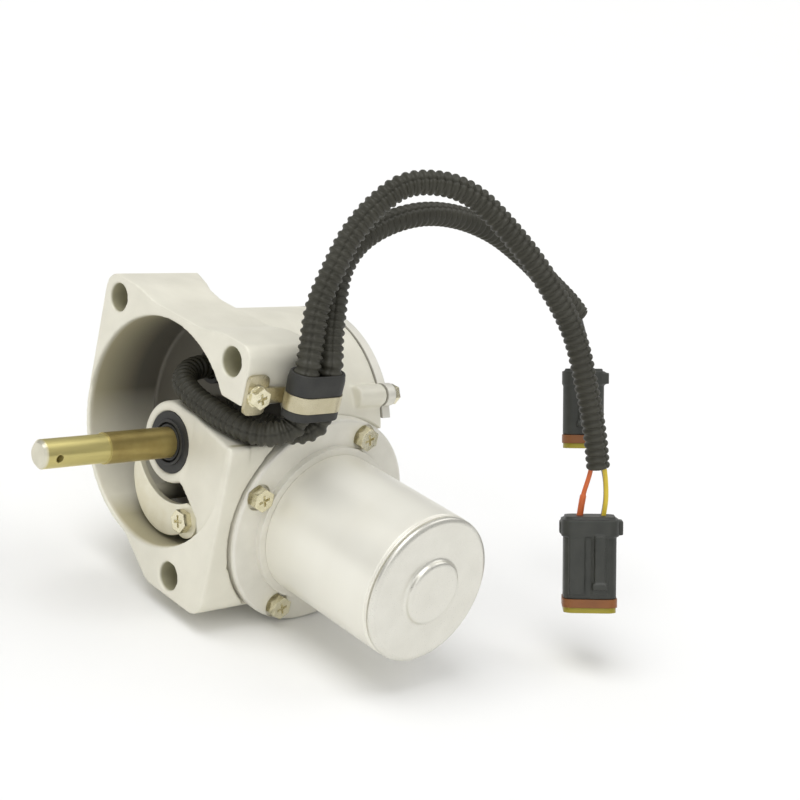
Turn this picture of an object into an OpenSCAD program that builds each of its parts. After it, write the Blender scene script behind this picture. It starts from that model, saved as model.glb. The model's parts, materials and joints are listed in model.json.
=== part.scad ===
// Engine governor actuator: flanged gear housing, worm gear motor, output shaft and two wired looms.
// The output shaft's axis meets the flange face at the origin. The shaft points to -Y, the motor to +X.

/* [Flange] */
// Half distance between the two top holes
hole_half_span = 36; // [34:0.5:38]
// Radius of the circle through the mounting holes
hole_circle_r = 55; // [54:0.5:62]
// Sideways place of the lower hole
low_hole_x = 24; // [20:0.5:30]
// Radius of the mounting holes
hole_r = 5.5; // [4:0.1:6.2]
// Flange edge to the left of the left hole
edge_left = 9; // [8:0.25:12]
// Flange edge to the right of the right hole
edge_right = 10; // [9:0.25:12]
// Flange edge above the top holes
edge_top = 8.2; // [6.8:0.1:10]
// Flange edge below the lower hole
edge_low = 8; // [7:0.25:10]
// Cut of the flange's corners
corner_cut = 3.5; // [2:0.25:5]
// Softening of the flange's corners
corner_soft = 3; // [1:0.25:4]
// Dip of the top edge between the holes
top_dip = 2.5; // [0:0.25:4]
// Thickness of the flange plate
flange_t = 9; // [6:0.5:14]
// Depth of the block behind the two top holes
top_block_depth = 33; // [30:0.5:45]
// Extra depth of the top block behind the left hole
left_lug_extra = 8; // [0:0.5:12]
// Depth of the boss behind the lower hole
lower_block_depth = 28; // [16:0.5:30]

/* [Housing] */
// Outer radius of the drum
drum_r = 46; // [45:0.25:48]
// Rear end of the drum
drum_end = 76; // [75.5:0.25:80]
// Height of the drum's centre above the shaft axis
drum_z = 5; // [4:0.25:6]
// Radius of the front recess
recess_r = 44; // [42:0.25:44.5]
// Depth of the front recess
recess_depth = 33; // [30:0.25:34]
// Thickness of the wall between recess and gear chamber
bulkhead_t = 3; // [2.5:0.25:5]
// Radius of the gear chamber
chamber_r = 40; // [37:0.25:41.5]
// Outer radius of the shaft boss
boss_r = 16; // [15:0.25:18]
// Depth of the boss face behind the flange face
boss_face = 8; // [6:0.25:10]
// Softening of the boss's rim
boss_soft = 1.2; // [0.5:0.1:2]
// Top of the web that joins the boss to the right wall
web_top = 16; // [14:0.25:16.5]
// Top of the slot that lets the looms into the recess
slot_top = 33; // [30:0.25:33.5]
// Depth of that slot
slot_depth = 26; // [25:0.25:28]
// Radius of the pad that carries the motor
pad_r = 42; // [41.5:0.25:44]
// Thickness of that pad
pad_t = 8; // [7:0.25:10]
// Face of that pad, from the shaft axis
pad_face = 42; // [41.5:0.25:43]
// Radius of the barrel behind the pad
barrel_r = 30; // [26:0.5:32]

/* [Output shaft] */
// Radius of the output shaft
shaft_r = 6; // [5.5:0.1:6.5]
// Radius of the stepped front end
shaft_tip_r = 5.5; // [4.5:0.1:5.5]
// Length of the shaft in front of the flange face
shaft_reach = 50; // [40:0.5:60]
// Length of the stepped front end
shaft_tip_length = 28; // [20:0.5:34]
// Radius of the cross hole near the tip
tip_hole_r = 1.5; // [1:0.1:2]
// Outer radius of the seal and the front bearing
seal_r = 12; // [11:0.1:13]
// Thickness of the seal
seal_t = 7; // [5:0.25:8]
// Thickness of the front bearing
bearing_t = 6; // [5:0.25:7]

/* [Worm gear] */
// Teeth of the worm wheel
wheel_teeth = 24; // [22:1:25]
// Gear module
gear_module = 1; // [0.95:0.05:1.05]
// Pitch radius of the worm
worm_pitch_r = 5; // [4.8:0.1:5.4]
// Tooth and thread thickness at the pitch line
tooth_t = 1.05; // [0.9:0.05:1.1]
// Height of teeth and thread above the pitch line
tooth_up = 0.7; // [0.6:0.05:0.8]
// Depth of teeth and thread below the pitch line
tooth_down = 1.15; // [1.1:0.05:1.25]
// Width of the worm wheel's teeth
wheel_w = 6; // [4:0.5:7]
// Length of the worm's thread
worm_length = 18; // [14:1:20]

/* [Motor] */
// Distance of the motor axis behind the flange face
motor_y = 50; // [49.5:0.25:50.5]
// Radius of the motor can
can_r = 28.7; // [27:0.1:30]
// Wall of the motor can
can_wall = 2; // [1.5:0.1:2.5]
// Length of the motor can
can_length = 57; // [56:0.5:62]
// Radius of the motor's mounting flange
motor_flange_r = 42; // [41.5:0.25:43]
// Thickness of the mounting flange
motor_flange_t = 4.7; // [4:0.1:6]
// Softening of the mounting flange's rim
rim_soft = 1.2; // [0.5:0.1:2]
// Thickness of the gasket under the flange
motor_gasket_t = 0.8; // [0.5:0.1:1.2]
// Radius of the step ring in front of the can
step_r = 31.5; // [30:0.1:33]
// Height of the step ring
step_t = 2.5; // [2:0.1:4]
// Radius of the circle of motor screws
screw_circle_r = 36.5; // [36:0.1:37]
// Turn of the first motor screw above the horizontal
screw_turn = 21.8; // [18:0.2:25]
// Radius of the end cap's hub
cap_hub_r = 12.5; // [11.5:0.1:14]
// Height of the end cap's hub
cap_hub_t = 2.5; // [2:0.1:4]

/* [Looms] */
// Radius of the looms
loom_r = 4.75; // [4:0.05:4.75]
// Radius of the wires
wire_r = 0.95; // [0.7:0.05:1]
// Distance of the looms from the flange's side where the clip holds them
clip_reach = 8.6; // [8:0.1:10]
// Thickness of the clip's steel band
band_t = 0.8; // [0.6:0.1:1.2]
// Width of the clip's steel band
band_w = 6; // [5:0.25:8]
// Thickness of the rubber between looms and band
cushion_t = 0.9; // [0.7:0.05:1.2]
// Height of the rubber above the band
cushion_up = 8; // [4:0.25:8]
// Height of the rubber below the band
cushion_down = 3.5; // [2:0.25:4]
// Reach of the rubber beyond the band
cushion_lip = 0.5; // [0.2:0.1:0.7]
// Width of the clip's ear on the flange
ear_w = 9.4; // [9:0.1:11]
// Height of the clip's ear
ear_h = 15; // [12:0.25:18]

/* [Guard plate] */
// Inner radius of the guard plate below the boss, round the shaft axis
guard_in_r = 24.2; // [23:0.1:26]
// Outer radius of the guard plate, round a centre below the shaft axis
guard_out_r = 22; // [20:0.1:22.5]
// Drop of that centre below the shaft axis
guard_drop = 15.5; // [14.5:0.1:16]
// Radius of the guard plate's ear
guard_ear_r = 7; // [6.6:0.1:8]
// Depth of the guard plate's front behind the flange face
guard_y = 11; // [9:0.25:14]
// Thickness of the guard plate
guard_t = 2.5; // [1.5:0.1:3]

/* [Fits] */
// Gap between a turning shaft and its bearing
run_gap = 0.02; // [0.01:0.01:0.05]
// Gap round a seated part
seat_gap = 0.02; // [0.01:0.01:0.05]
// Gap between parts that move past each other
free_gap = 0.4; // [0.35:0.05:0.6]
// Gap between a loom and the rubber round it
loom_gap = 0.1; // [0.05:0.05:0.3]

/* [Hidden] */

wheel_pitch_r = wheel_teeth * gear_module / 2;
motor_z = -(wheel_pitch_r + worm_pitch_r);
lead = PI * gear_module;
flange_left = hole_half_span + edge_left;
flange_right = hole_half_span + edge_right;
hole_z = drum_z + sqrt(pow(hole_circle_r, 2) - pow(hole_half_span, 2));
low_hole_z = drum_z - sqrt(pow(hole_circle_r, 2) - pow(low_hole_x, 2));
flange_top = hole_z + edge_top;
flange_bottom = edge_low - low_hole_z;
chamber_front = recess_depth + bulkhead_t;
bearing_front = boss_face + seal_t;
bearing_back = bearing_front + bearing_t;
wheel_front = motor_y - wheel_w / 2;
wheel_back = motor_y + wheel_w / 2;
hub_back = wheel_back + 5;
hub_r = 9;
wheel_twist = -wheel_w * lead / (2 * PI * worm_pitch_r) / wheel_pitch_r * 180 / PI;
seat_r = 5;
rear_r = 4;
sensor_front = hub_back + 2;
sensor_back = sensor_front + 6;
sensor_r = 22;
sensor_bore_r = 7.5;
sensor_screw_x = 17;
rear_boss_front = sensor_back + 2;
rear_bearing_r = 8;
rear_bearing_t = 5;
rear_boss_r = 12;
rear_gasket_t = 0.5;
cover_front = drum_end + rear_gasket_t;
cover_t = 4;
screw_gap = 0.1;
screw_room = 0.4;
rear_screw_r = 1.9;
rear_screw_bite = 7;
sensor_screw_r = 1.4;
sensor_screw_bite = 7;
guard_screw_r = 1.9;
guard_screw_bite = 11;
motor_screw_r = 2.4;
motor_screw_bite = 6;
motor_screw_flats = 8;
motor_screw_sink = 1.5;
clip_screw_r = 2.4;
clip_screw_bite = 8.5;
cover_trim = pad_face - pad_t - free_gap;
lug_circle_r = drum_r + 0.5;
lug_r = 4.5;
lug_turns = [33, 140, 196, 252];
pilot_r = 17.5;
bush_r = 5;
bush_length = 11;
bush_end = -15;
pin_r = 1.5;
pin_y = wheel_back + 2.5;
commutator_r = 9;
motor_bearing_t = 5;
flange_back = pad_face + motor_gasket_t;
flange_face = flange_back + motor_flange_t;
can_front = flange_face + step_t;
can_back = can_front + can_length;
can_bore_r = can_r - can_wall;
cap_t = 3;
rotor_r = 4;
rotor_end_r = 3;
motor_bearing_r = 8;
nose_front = pad_face - 6;
winding_t = 6;
core_front = can_front + winding_t + 4;
core_back = can_back - winding_t - 13;
core_r = can_bore_r - 5.7;
clip_x = flange_right + clip_reach;
clip_y = [20, 31];
clip_z = 37.5;
clip_screw_y = 4.7;
cushion_r = loom_r + loom_gap + cushion_t;
ear_t = 2 * band_t;
ear_front = 0.4;
neck_x = clip_x - cushion_r - band_t;
grommet_r = 7;
grommet_t = 3;
guard_ear_turn = -61.3;
guard_ear_at = 30.6 * [cos(guard_ear_turn), sin(guard_ear_turn)];
guard_rest_at = 29 * [cos(guard_ear_turn - 52), sin(guard_ear_turn - 52)];
guard_post_r = 5;
guard_rest_r = 3.5;
motor_plug_at = [105.3, 139.65, 0.15];
sensor_plug_at = [43.5, 193.45, 36.75];
plug_turn = [-16, -13, 43];
motor_route = [[-10, recess_depth, 26.5], [-10, 27.5, 26.5], [-8.6, 20, 26], [-4.4, 13.8, 25],
  [1.5, 9.8, 24], [9, 8, 22.9], [19, 8, 21.9], [31, 8, 21.6], [42, 9, 21.8], [50, 13.2, 23],
  [clip_x - 0.8, 18, 26], [clip_x, clip_y[0], 30], [clip_x, clip_y[0], 50], [52.5, 21.5, 57],
  [48.5, 24.5, 71], [47.5, 29.5, 85.5], [47, 35, 97.5], [48, 42.5, 108.5], [50.5, 53, 117.5],
  [56, 66.5, 120], [61.5, 78.5, 117], [69, 91.5, 107.5], [78, 107, 92.5], [87, 122, 73], [94, 132, 50],
  [99, 138, 32], [102, 141, 20]];
sensor_route = [[16, recess_depth, 27], [16, 29, 27], [18.2, 23, 26], [23.5, 19, 24], [30, 18, 22.4],
  [36, 18.6, 21.8], [42, 20.8, 21.8], [50, 25.2, 23], [clip_x - 0.8, 29.5, 26],
  [clip_x, clip_y[1], 30], [clip_x, clip_y[1], 50], [51, 32.5, 57], [46, 35.5, 67], [40, 40, 81],
  [37.5, 48, 91.5], [36.5, 62, 99], [36.5, 80, 103], [36.5, 100, 102], [37.5, 121, 96.5],
  [39, 141, 87], [40, 158, 77], [43, 172, 68], [45, 178, 63]];
orange_route = [[100.1, 138.9, 23], [100.3, 139.2, 16], [101.1, 137.6, 8], [102.4, 137.2, -1.6]];
yellow_route = [[103, 141.8, 23], [105.1, 143.6, 16], [107.8, 143.8, 8], [109.2, 143.5, -0.5]];
blue_route = [[101.2, 142.5, 23], [103.7, 145.1, 15.5], [106.4, 145.4, 7.5], [107.8, 145.1, -1.4]];
sensor_wire_routes = [[[43.2, 176, 65], [44, 183, 54], [43, 189, 45], [41, 191, 35]],
  [[44.6, 177.4, 65], [45.8, 184.6, 54], [44.8, 191, 45], [43.6, 193.4, 35]],
  [[45.8, 175.6, 65], [47.2, 183, 54], [46.6, 190, 45], [46, 195.6, 35]]];

module y_rod(r, y0, y1, x = 0, z = 0, sides = 96) {
  translate([x, y0, z]) rotate([-90, 0, 0]) cylinder(r = r, h = y1 - y0, $fn = sides);
}

module x_rod(r, x0, x1, y = motor_y, z = motor_z, sides = 96) {
  translate([x0, y, z]) rotate([0, 90, 0]) cylinder(r = r, h = x1 - x0, $fn = sides);
}

// Profile of [radius, y] points turned round the shaft axis
module y_turn(profile, sides = 96) {
  rotate([-90, 0, 0]) rotate_extrude($fn = sides) polygon(profile);
}

// Profile of [radius, x] points turned round the motor axis
module x_turn(profile, sides = 128) {
  translate([0, motor_y, motor_z]) rotate([0, 90, 0]) rotate_extrude($fn = sides) polygon(profile);
}

module y_plate(y0, y1) {
  translate([0, y1, 0]) rotate([90, 0, 0]) linear_extrude(y1 - y0) children();
}

module box(low, high) {
  translate(low) cube(high - low);
}

module at_motor_screws() {
  for (k = [0:3]) translate([0, motor_y - screw_circle_r * cos(screw_turn + 90 * k),
    motor_z + screw_circle_r * sin(screw_turn + 90 * k)]) children();
}

module at_lugs() {
  for (a = lug_turns) translate([lug_circle_r * cos(a), 0, drum_z + lug_circle_r * sin(a)]) children();
}

module at_guard_ear() {
  translate([guard_ear_at[0], 0, guard_ear_at[1]]) children();
}

module at_top_holes() {
  for (x = [-hole_half_span, hole_half_span]) translate([x, 0, hole_z]) children();
}

// Hexagon head with a cross recess, seated at the origin and rising along +Z
module hex_head(flats, h) {
  difference() {
    cylinder(r = flats / 2 / cos(30), h = h, $fn = 6);
    for (a = [20, 110]) rotate([0, 0, a]) box([-flats * 0.3, -0.5, h - 1.2], [flats * 0.3, 0.5, h + 1]);
  }
}

function unit(v) = v / norm(v);
function tangents(p) = [for (i = [0:len(p) - 1]) unit(p[min(i + 1, len(p) - 1)] - p[max(i - 1, 0)])];
function carried(t) = [for (i = 0, n = unit(cross(t[0], [0.3, 0.2, 1])); i < len(t);
  i = i + 1, n = i < len(t) ? unit(n - (n * t[i]) * t[i]) : n) n];
function rings(p, t, n, r, sides) = [for (i = [0:len(p) - 1], k = [0:sides - 1])
  p[i] + r * (cos(360 * k / sides) * n[i] + sin(360 * k / sides) * cross(t[i], n[i]))];

// Outline whose corners are swapped for arcs that start and end at most the given length from them
function softened(p, cut) = [for (i = [0:len(p) - 1])
  let (b = p[i], a = p[(i + len(p) - 1) % len(p)], c = p[(i + 1) % len(p)],
    d = min(cut, 0.4 * norm(a - b), 0.4 * norm(c - b)), u = d * unit(a - b), v = d * unit(c - b))
  for (t = [0:3]) b + pow(1 - t / 3, 2) * u + pow(t / 3, 2) * v];

// Round cord swept along a route
module cord(route, r, sides) {
  t = tangents(route);
  last = (len(route) - 1) * sides;
  polyhedron(points = rings(route, t, carried(t), r, sides), faces = concat(
    [[for (k = [0:sides - 1]) k]], [[for (k = [sides - 1:-1:0]) last + k]],
    [for (i = [0:len(route) - 2], k = [0:sides - 1]) let (a = i * sides + k, b = i * sides + (k + 1) % sides)
      [a, a + sides, b + sides, b]]));
}

// Front outline of the flange, X across and Z up
module flange_outline() {
  polygon(softened([[-flange_left, drum_z + 3], [-flange_left, flange_top - corner_cut],
    [corner_cut - flange_left, flange_top], [10 - hole_half_span, flange_top],
    [22 - hole_half_span, flange_top - top_dip], [hole_half_span - 20, flange_top - top_dip],
    [hole_half_span - 9, flange_top], [flange_right - corner_cut, flange_top],
    [flange_right, flange_top - corner_cut], [flange_right, corner_cut + 1 - flange_bottom],
    [flange_right - corner_cut - 1, -flange_bottom], [low_hole_x - 12.5, -flange_bottom],
    [-8, drum_z + 2 - drum_r], [-30, drum_z + 17 - drum_r]], corner_soft));
}

// Web that joins the boss to the right wall, sloping out to the flange face
module web() {
  intersection() {
    y_plate(0, recess_depth + 1) polygon([[0, web_top], [flange_right, web_top], [flange_right, -30],
      [34, -28], [29, -19], [10, -12.5], [0, -5]]);
    translate([0, 0, -35]) linear_extrude(60) polygon([[-1, boss_face], [boss_r - 3, boss_face],
      [flange_right - 3, 0], [flange_right, 0], [flange_right, recess_depth + 1], [-1, recess_depth + 1]]);
  }
}

module front_recess() {
  difference() {
    y_rod(recess_r, -1, recess_depth, z = drum_z, sides = 128);
    y_turn([[0, boss_face], [boss_r - boss_soft, boss_face],
      [boss_r - 0.3 * boss_soft, boss_face + 0.3 * boss_soft], [boss_r, boss_face + boss_soft],
      [boss_r, recess_depth + 1], [0, recess_depth + 1]]);
    web();
    at_guard_ear() y_rod(guard_post_r, guard_y + guard_t, recess_depth + 1, sides = 48);
    y_rod(guard_rest_r, guard_y + guard_t, recess_depth + 1, guard_rest_at[0], guard_rest_at[1], 48);
  }
}

module gear_chamber() {
  difference() {
    y_rod(chamber_r, chamber_front, drum_end + 1, z = drum_z, sides = 128);
    box([-chamber_r, chamber_front - 1, motor_z - bush_r - 4],
      [bush_end, sensor_front - free_gap, motor_z + bush_r + 4]);
    at_motor_screws() x_rod(motor_screw_r + 3.6, pad_face - 2 * motor_screw_bite, pad_face, 0, 0, 48);
  }
}

module housing() color("gainsboro") difference() {
  union() {
    y_plate(0, flange_t) flange_outline();
    intersection() {
      y_plate(0, top_block_depth + left_lug_extra) flange_outline();
      translate([0, 0, hole_z - 16.5]) linear_extrude(edge_top + 17) polygon([[-flange_left, 0],
        [flange_right, 0], [flange_right, top_block_depth], [14 - hole_half_span, top_block_depth],
        [3 - flange_left, top_block_depth + left_lug_extra],
        [-flange_left, top_block_depth + left_lug_extra]]);
    }
    intersection() {
      y_plate(0, lower_block_depth) flange_outline();
      box([low_hole_x - 16, -1, low_hole_z - edge_low - 1],
        [flange_right, lower_block_depth, low_hole_z + 11.5]);
    }
    y_rod(drum_r, 0.6, drum_end, z = drum_z, sides = 128);
    difference() {
      x_rod(barrel_r, 0, pad_face - pad_t + 1);
      box([-1, drum_end, -80], [cover_trim, 120, 40]);
    }
    x_rod(pad_r, pad_face - pad_t, pad_face, sides = 128);
    at_lugs() y_rod(lug_r, drum_end - 14, drum_end, sides = 48);
  }
  x_rod(motor_flange_r + 1, pad_face, 70, sides = 128);
  front_recess();
  box([28, -1, web_top + 0.2], [70, slot_depth, slot_top]);
  gear_chamber();
  y_rod(hole_r, -1, lower_block_depth + 1, low_hole_x, low_hole_z, 64);
  at_top_holes() y_rod(hole_r, -1, 60, sides = 64);
  y_rod(seal_r + seat_gap, boss_face - 1, bearing_back, sides = 96);
  y_rod(hub_r, bearing_back - 1, chamber_front + 1, sides = 64);
  x_rod(pilot_r, pad_face - 16, pad_face + 1);
  x_rod(bush_r + seat_gap, bush_end - bush_length, bush_end + 1, sides = 64);
  at_motor_screws() x_rod(motor_screw_r + screw_gap, pad_face - motor_screw_bite - 1, pad_face + 1, 0, 0,
    48);
  at_lugs() y_rod(rear_screw_r + screw_gap, drum_end - rear_screw_bite - 1, drum_end + 1, sides = 32);
  at_guard_ear() y_rod(guard_screw_r + screw_gap, guard_y, guard_y + guard_screw_bite + 1, sides = 32);
  x_rod(clip_screw_r + screw_gap, flange_right - clip_screw_bite - 1, flange_right + 1, clip_screw_y, clip_z,
    48);
}

// Outline of the rear cover: the drum with its lugs and screw holes, cut short beside the motor pad
module cover_outline() {
  difference() {
    union() {
      translate([0, drum_z]) circle(r = drum_r, $fn = 128);
      for (a = lug_turns) translate([lug_circle_r * cos(a), drum_z + lug_circle_r * sin(a)])
        circle(r = lug_r, $fn = 48);
    }
    translate([cover_trim, -80]) square([60, 102]);
    for (a = lug_turns) translate([lug_circle_r * cos(a), drum_z + lug_circle_r * sin(a)])
      circle(r = rear_screw_r + screw_room, $fn = 32);
  }
}

module rear_gasket() color("dimgray") difference() {
  y_plate(drum_end, cover_front) cover_outline();
  y_rod(chamber_r, drum_end - 1, cover_front + 1, z = drum_z, sides = 128);
}

module rear_cover() color("silver") difference() {
  union() {
    y_plate(cover_front, cover_front + cover_t) cover_outline();
    y_rod(rear_boss_r, rear_boss_front, cover_front + cover_t - 0.5);
    y_rod(rear_boss_r + 2, cover_front + cover_t - 1, cover_front + cover_t + 2);
    for (x = [-sensor_screw_x, sensor_screw_x]) y_rod(4, sensor_back, cover_front + 1, x, sides = 48);
  }
  y_rod(rear_bearing_r + seat_gap, rear_boss_front - 1, rear_boss_front + rear_bearing_t);
  y_rod(rear_r + 2, rear_boss_front, rear_boss_front + rear_bearing_t + 1, sides = 64);
  for (x = [-sensor_screw_x, sensor_screw_x])
    y_rod(sensor_screw_r + screw_gap, sensor_back - 1, sensor_back + sensor_screw_bite + 1, x, sides = 32);
}

module rear_screws() color("khaki") at_lugs() translate([0, cover_front + cover_t, 0]) {
  rotate([-90, 0, 0]) hex_head(7, 3);
  y_rod(rear_screw_r, -cover_t - rear_gasket_t - rear_screw_bite, 0.5, sides = 32);
}

module shaft_seal() color("black") difference() {
  union() {
    y_rod(seal_r, boss_face + 0.4, bearing_front, sides = 96);
    y_rod(seal_r - 3, boss_face - 0.4, bearing_front - 1, sides = 96);
  }
  y_rod(shaft_r + run_gap, 0, bearing_back, sides = 96);
  difference() {
    y_rod(seal_r - 4.2, boss_face - 1, boss_face + 1.6, sides = 96);
    y_rod(shaft_r + 1, boss_face - 2, boss_face + 3, sides = 96);
  }
}

module front_bearing() color("lightsteelblue") difference() {
  y_rod(seal_r, bearing_front, bearing_back, sides = 96);
  y_rod(shaft_r + run_gap, 0, bearing_back + 1, sides = 96);
}

module rear_bearing() color("lightsteelblue") difference() {
  y_rod(rear_bearing_r, rear_boss_front, rear_boss_front + rear_bearing_t);
  y_rod(rear_r + run_gap, rear_boss_front - 1, rear_boss_front + rear_bearing_t + 1);
}

module worm_bush() color("goldenrod") difference() {
  x_rod(bush_r, bush_end - bush_length, bush_end, sides = 64);
  x_rod(rotor_end_r + run_gap, bush_end - bush_length - 1, bush_end + 1, sides = 64);
}

module sensor_body() color("darkslategray") difference() {
  y_rod(sensor_r, sensor_front, sensor_back);
  y_rod(sensor_bore_r, sensor_front - 1, sensor_back + 1);
  for (x = [-sensor_screw_x, sensor_screw_x])
    y_rod(sensor_screw_r + screw_room, sensor_front - 1, sensor_back + 1, x, sides = 32);
}

module sensor_screws() color("khaki") for (x = [-sensor_screw_x, sensor_screw_x]) {
  y_rod(2.7, sensor_front - 1.8, sensor_front, x, sides = 32);
  y_rod(sensor_screw_r, sensor_front - 1, sensor_back + sensor_screw_bite, x, sides = 32);
}

// Front outline of the guard plate: a crescent that ends in a round ear
module guard_outline() {
  difference() {
    union() {
      intersection() {
        translate([0, -guard_drop]) circle(r = guard_out_r, $fn = 128);
        rotate(guard_ear_turn) translate([0, -2 * guard_in_r]) square(2 * guard_in_r);
      }
      translate(guard_ear_at) circle(r = guard_ear_r, $fn = 64);
    }
    circle(r = guard_in_r, $fn = 128);
    translate(guard_ear_at) circle(r = guard_screw_r + screw_room, $fn = 32);
  }
}

module guard_plate() color("whitesmoke") y_plate(guard_y, guard_y + guard_t) guard_outline();

module guard_screws() color("khaki") at_guard_ear() translate([0, guard_y, 0]) {
  rotate([90, 0, 0]) hex_head(8, 3.4);
  y_rod(guard_screw_r, -0.5, guard_screw_bite, sides = 32);
}

module motor_gasket() color("dimgray") difference() {
  x_rod(motor_flange_r - 1, pad_face, flange_back, sides = 128);
  x_rod(pilot_r, pad_face - 1, flange_back + 1);
  at_motor_screws() x_rod(motor_screw_r + screw_room, pad_face - 1, flange_back + 1, 0, 0, 48);
}

module motor_flange() color("lightgray") difference() {
  union() {
    x_turn([[0, flange_back], [motor_flange_r, flange_back], [motor_flange_r, flange_face - rim_soft],
      [motor_flange_r - 0.3 * rim_soft, flange_face - 0.3 * rim_soft],
      [motor_flange_r - rim_soft, flange_face], [0, flange_face]]);
    x_rod(step_r, flange_face - 1, can_front, sides = 128);
    x_rod(pilot_r - seat_gap, nose_front, flange_back + 1);
  }
  x_rod(motor_bearing_r + seat_gap, nose_front - 1, nose_front + motor_bearing_t, sides = 64);
  x_rod(rotor_r + free_gap, nose_front - 1, can_front + 1, sides = 64);
  at_motor_screws() x_rod(motor_screw_r + screw_room, pad_face, can_front, 0, 0, 48);
  at_motor_screws() x_rod(motor_screw_flats * 0.65, flange_face - motor_screw_sink, can_front, 0, 0, 48);
}

module motor_screws() color("khaki") at_motor_screws()
  translate([flange_face - motor_screw_sink, 0, 0]) {
  rotate([0, 90, 0]) hex_head(motor_screw_flats, 5);
  x_rod(motor_screw_r, motor_screw_sink - motor_flange_t - motor_gasket_t - motor_screw_bite, 0.5, 0, 0, 48);
}

module motor_can() color("silver") difference() {
  x_rod(can_r, can_front, can_back, sides = 128);
  x_rod(can_bore_r, can_front - 1, can_back + 1, sides = 128);
}

module motor_magnets() color("dimgray") for (a = [25, 205]) translate([core_front - 2, motor_y, motor_z])
  rotate([0, 90, 0]) rotate([0, 0, a]) rotate_extrude(angle = 130, $fn = 96)
    translate([core_r + 1, 0]) square([can_bore_r - seat_gap - core_r - 1, core_back - core_front + 4]);

module motor_bearings() color("lightsteelblue")
  for (x = [nose_front, can_back + 2 - motor_bearing_t]) difference() {
  x_rod(motor_bearing_r, x, x + motor_bearing_t, sides = 64);
  x_rod(rotor_r + run_gap, x - 1, x + motor_bearing_t + 1, sides = 64);
}

module brush_holder() color("saddlebrown") difference() {
  x_rod(can_bore_r - seat_gap, can_back - 6.5, can_back - 4, sides = 96);
  x_rod(commutator_r + 2, can_back - 7, can_back - 3, sides = 64);
}

module brushes() color("darkgray") for (s = [-1, 1]) translate([can_back - 11, motor_y, motor_z])
  box([0, s > 0 ? commutator_r + free_gap : -commutator_r - 10, -3],
    [4.5, s > 0 ? commutator_r + 10 : -commutator_r - free_gap, 3]);

module motor_end_cap() color("lightgray") difference() {
  union() {
    x_rod(can_bore_r - seat_gap, can_back - 4, can_back + 1, sides = 128);
    x_rod(can_r - 0.6, can_back, can_back + 0.8, sides = 128);
    x_rod(can_r - 0.1, can_back + 0.8, can_back + cap_t - 1, sides = 128);
    translate([can_back + cap_t - 1, motor_y, motor_z]) rotate([0, 90, 0])
      cylinder(r1 = can_r - 0.1, r2 = can_r - 1.1, h = 1, $fn = 128);
    translate([can_back + cap_t, motor_y, motor_z]) rotate([0, 90, 0])
      cylinder(r1 = cap_hub_r, r2 = cap_hub_r - 1.2, h = cap_hub_t, $fn = 96);
  }
  x_rod(motor_bearing_r + seat_gap, can_back - 5, can_back + 2, sides = 64);
  x_rod(rotor_r + free_gap, can_back - 5, can_back + 4, sides = 64);
}

// Loop round both looms, seen from above
module clip_loop(r) {
  for (y = clip_y) translate([clip_x, y]) circle(r = r, $fn = 64);
  translate([clip_x - r, clip_y[0]]) square([2 * r, clip_y[1] - clip_y[0]]);
}

// Loop, a neck that runs from it to the flange, and the ear that the screw holds
module loom_clip_band() color("khaki") difference() {
  union() {
    translate([0, 0, clip_z - band_w / 2]) linear_extrude(band_w) difference() {
      union() {
        clip_loop(cushion_r + band_t);
        polygon([[flange_right, ear_w - ear_t], [flange_right + ear_t, ear_w - ear_t],
          [neck_x + band_t, clip_y[0]], [neck_x, clip_y[0]]]);
      }
      clip_loop(cushion_r);
    }
    translate([flange_right, ear_front, clip_z - ear_h / 2]) rotate([90, 0, 90]) linear_extrude(ear_t)
      polygon(softened([[0, 0], [ear_w, 0], [ear_w, ear_h], [0, ear_h]], 2.5));
  }
  x_rod(clip_screw_r + screw_room, flange_right - 1, flange_right + ear_t + 1, clip_screw_y, clip_z, 48);
}

module loom_clip_cushion() color("black") difference() {
  union() {
    translate([0, 0, clip_z - band_w / 2 - cushion_down]) linear_extrude(band_w + cushion_down + cushion_up)
      clip_loop(cushion_r);
    translate([0, 0, clip_z + band_w / 2]) linear_extrude(cushion_up) clip_loop(cushion_r + cushion_lip);
    translate([0, 0, clip_z - band_w / 2 - cushion_down]) linear_extrude(cushion_down)
      clip_loop(cushion_r + cushion_lip);
  }
  for (y = clip_y) translate([clip_x, y, 0]) cylinder(r = loom_r + loom_gap, h = 80, $fn = 64);
}

module loom_clip_screw() color("khaki") translate([flange_right + ear_t, clip_screw_y, clip_z]) {
  x_rod(4.2, 0, 0.9, 0, 0, 48);
  translate([0.8, 0, 0]) rotate([0, 90, 0]) hex_head(7, 3);
  x_rod(clip_screw_r, -ear_t - clip_screw_bite, 1.5, 0, 0, 48);
}

module loom_grommets() color("black") for (p = [motor_route[0], sensor_route[0]]) difference() {
  y_rod(grommet_r, recess_depth - grommet_t, recess_depth, p[0], p[2], 64);
  y_rod(loom_r + 4 * loom_gap, recess_depth - grommet_t - 1, recess_depth + 1, p[0], p[2], 64);
}

module output_shaft() color("goldenrod") difference() {
  union() {
    translate([0, -shaft_reach, 0]) rotate([-90, 0, 0])
      cylinder(r1 = shaft_tip_r - 1.2, r2 = shaft_tip_r, h = 1.2, $fn = 96);
    y_rod(shaft_tip_r, 1.2 - shaft_reach, shaft_tip_length - shaft_reach + 1);
    y_rod(shaft_r, shaft_tip_length - shaft_reach, hub_back);
    y_rod(shaft_r + 2, bearing_back + free_gap, bearing_back + 5);
    y_rod(shaft_r + 2, wheel_front - 4, wheel_front);
    y_rod(seat_r, hub_back - 1, rear_boss_front - free_gap);
    y_rod(rear_r, hub_back, rear_boss_front + rear_bearing_t + 0.5);
  }
  x_rod(tip_hole_r, -2 * shaft_tip_r, 2 * shaft_tip_r, 4 * tip_hole_r - shaft_reach, 0, 48);
  x_rod(pin_r + seat_gap, -2 * hub_r, 2 * hub_r, pin_y, 0, 48);
}

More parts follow.
